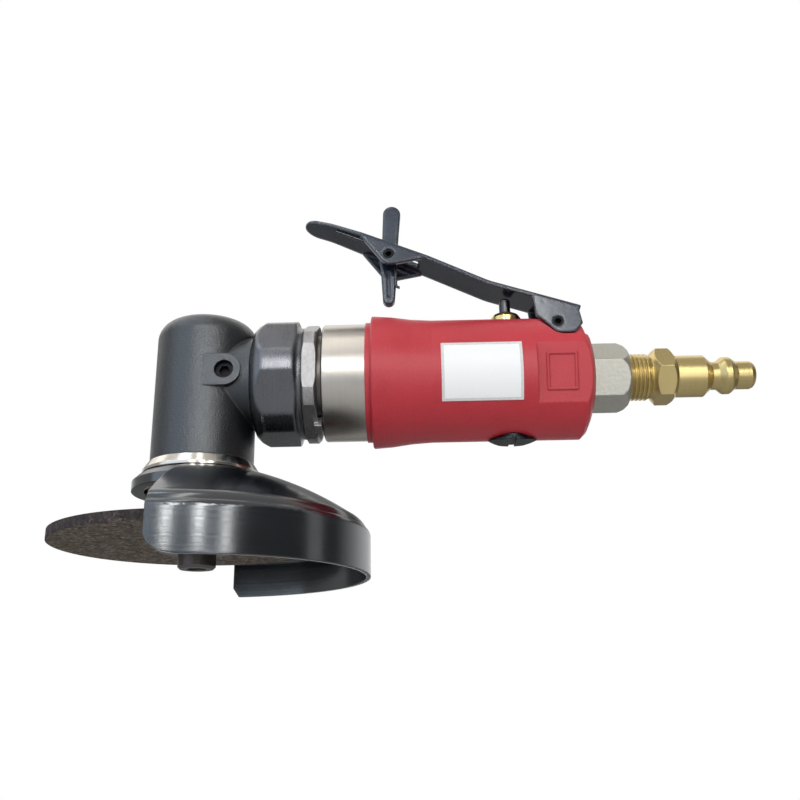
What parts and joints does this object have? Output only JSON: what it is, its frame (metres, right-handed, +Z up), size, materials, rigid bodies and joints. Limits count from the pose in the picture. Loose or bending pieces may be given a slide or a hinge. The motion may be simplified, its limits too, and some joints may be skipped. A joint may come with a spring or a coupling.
{
  "type": "mini air angle grinder",
  "caption": "Palm-sized pneumatic angle grinder: red grip with throttle lever and safety latch, black angle head, abrasive wheel under a half guard, brass hose plug.",
  "frame": {"origin": "on the handle's axis at the middle of the red grip", "axes": "+X along the handle from the angle head to the air inlet, +Z up to the throttle lever and parallel to the wheel's spindle, -Y to the side with the label"},
  "size_m": [0.1919, 0.0922, 0.1096],
  "materials": {
    "casting_black": "satin black cast housing",
    "oxide_black": "black oxide steel",
    "bright_steel": "turned bright steel",
    "dark_steel": "ground tool steel",
    "grip_red": "matte red moulded rubberised plastic",
    "label_white": "blank white label with a silver border",
    "enamel_black": "gloss black enamel",
    "abrasive": "dark brown resin-bonded abrasive",
    "brass": "turned brass",
    "plated": "satin plated steel",
    "seal_black": "black nitrile rubber",
    "felt_grey": "grey felt",
    "vane_brown": "brown phenolic laminate",
    "liner_steel": "bored iron"
  },
  "bodies": {
    "housing": {"angle_head": "casting_black", "grease_screw": "oxide_black", "collar_ring": "bright_steel", "bearing_cap": "dark_steel", "clamp_nut": "oxide_black", "lock_ring": "bright_steel", "motor_housing": "bright_steel", "grip": "grip_red", "label_plate": "label_white", "spindle_top_bearing": "bright_steel", "spindle_lower_bearing": "bright_steel", "pinion_bearing": "bright_steel", "motor_spacer": "dark_steel", "front_end_plate": "liner_steel", "rear_end_plate": "liner_steel", "rotor_front_bearing": "bright_steel", "rotor_rear_bearing": "bright_steel", "motor_cylinder": "liner_steel", "cylinder_dowel": "dark_steel", "rear_gasket": "seal_black", "valve_bush": "brass", "bush_seal": "seal_black", "valve_spring": "dark_steel", "regulator_ring": "dark_steel", "inlet_bushing": "plated", "inlet_seal": "seal_black", "inlet_screen": "brass", "exhaust_felt": "felt_grey", "hose_plug": "brass", "lever_pin": "oxide_black"},
    "spindle_set": {"spindle": "dark_steel", "bevel_gear": "dark_steel", "gear_key": "dark_steel", "gear_shim": "dark_steel", "inner_flange": "dark_steel", "cutting_wheel": "abrasive", "outer_flange": "oxide_black", "wheel_screw": "oxide_black"},
    "rotor_set": {"rotor": "dark_steel", "rotor_vane_1": "vane_brown", "rotor_vane_2": "vane_brown", "rotor_vane_3": "vane_brown", "rotor_vane_4": "vane_brown", "bevel_pinion": "dark_steel"},
    "guard": {"wheel_guard": "enamel_black"},
    "lever": {"throttle_lever": "enamel_black", "latch_pin": "oxide_black", "latch_spring": "dark_steel"},
    "latch": {"safety_latch": "enamel_black"},
    "stem": {"valve_stem": "dark_steel", "valve_seal": "seal_black"},
    "regulator": {"flow_regulator": "oxide_black", "regulator_seal": "seal_black"}
  },
  "joints": [
    {"name": "spindle_spin", "type": "hinge", "parent": "housing", "child": "spindle_set", "pos_m": [-0.07733, 0, 0], "axis": [0, 0, 1], "continuous": true},
    {"name": "rotor_spin", "type": "hinge", "parent": "housing", "child": "rotor_set", "pos_m": [0, 0, 0], "axis": [1, 0, 0], "continuous": true},
    {"name": "guard_swivel", "type": "hinge", "parent": "housing", "child": "guard", "pos_m": [-0.07733, 0, 0], "axis": [0, 0, 1], "continuous": true},
    {"name": "lever_press", "type": "hinge", "parent": "housing", "child": "lever", "pos_m": [0.02218, 0, 0.01528], "axis": [0, -1, 0], "range_deg": [0, 11.5], "stiffness_Nm_per_rad": 0.6, "springref_deg": -11.46},
    {"name": "latch_swing", "type": "hinge", "parent": "lever", "child": "latch", "pos_m": [-0.02523, 0, 0.03753], "axis": [0, 1, 0], "range_deg": [0, 62]},
    {"name": "valve_slide", "type": "slide", "parent": "housing", "child": "stem", "axis": [0, 0, -1], "range_m": [0, 0.0032], "deforming": ["valve_spring"]},
    {"name": "regulator_turn", "type": "hinge", "parent": "housing", "child": "regulator", "pos_m": [0.00808, 0, 0], "axis": [0, 0, 1], "range_deg": [-90, 90]}
  ],
  "couplings": [
    {"joint": "rotor_spin", "follows": "spindle_spin", "ratio": 1.2857},
    {"joint": "latch_swing", "follows": "lever_press", "ratio": 5.3913},
    {"joint": "valve_slide", "follows": "lever_press", "m_per_rad": 0.01594}
  ]
}
